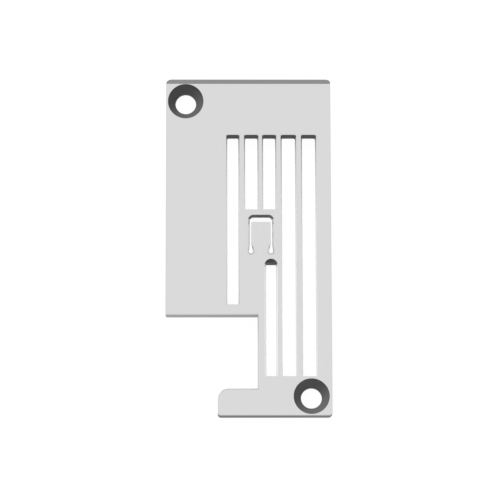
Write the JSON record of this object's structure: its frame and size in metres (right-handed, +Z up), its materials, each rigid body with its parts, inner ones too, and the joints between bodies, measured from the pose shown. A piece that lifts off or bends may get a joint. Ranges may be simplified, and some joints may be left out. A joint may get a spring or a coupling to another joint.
{
  "type": "sewing machine needle plate",
  "caption": "Flat steel needle plate with feed slots, a stitch tongue with needle holes, countersunk screw holes and an L-shaped foot at the front.",
  "frame": {"origin": "under the middle of the plate's bounding box, on the underside", "axes": "+X across the plate to the operator's right, +Y along the feed slots to the rear bevelled edge, +Z up out of the sewing face"},
  "size_m": [0.0398, 0.083, 0.0038],
  "materials": {
    "steel": "satin ground face, darker bevel, countersinks and slot walls"
  },
  "bodies": {
    "root": {"needle_plate": "steel"}
  },
  "joints": []
}
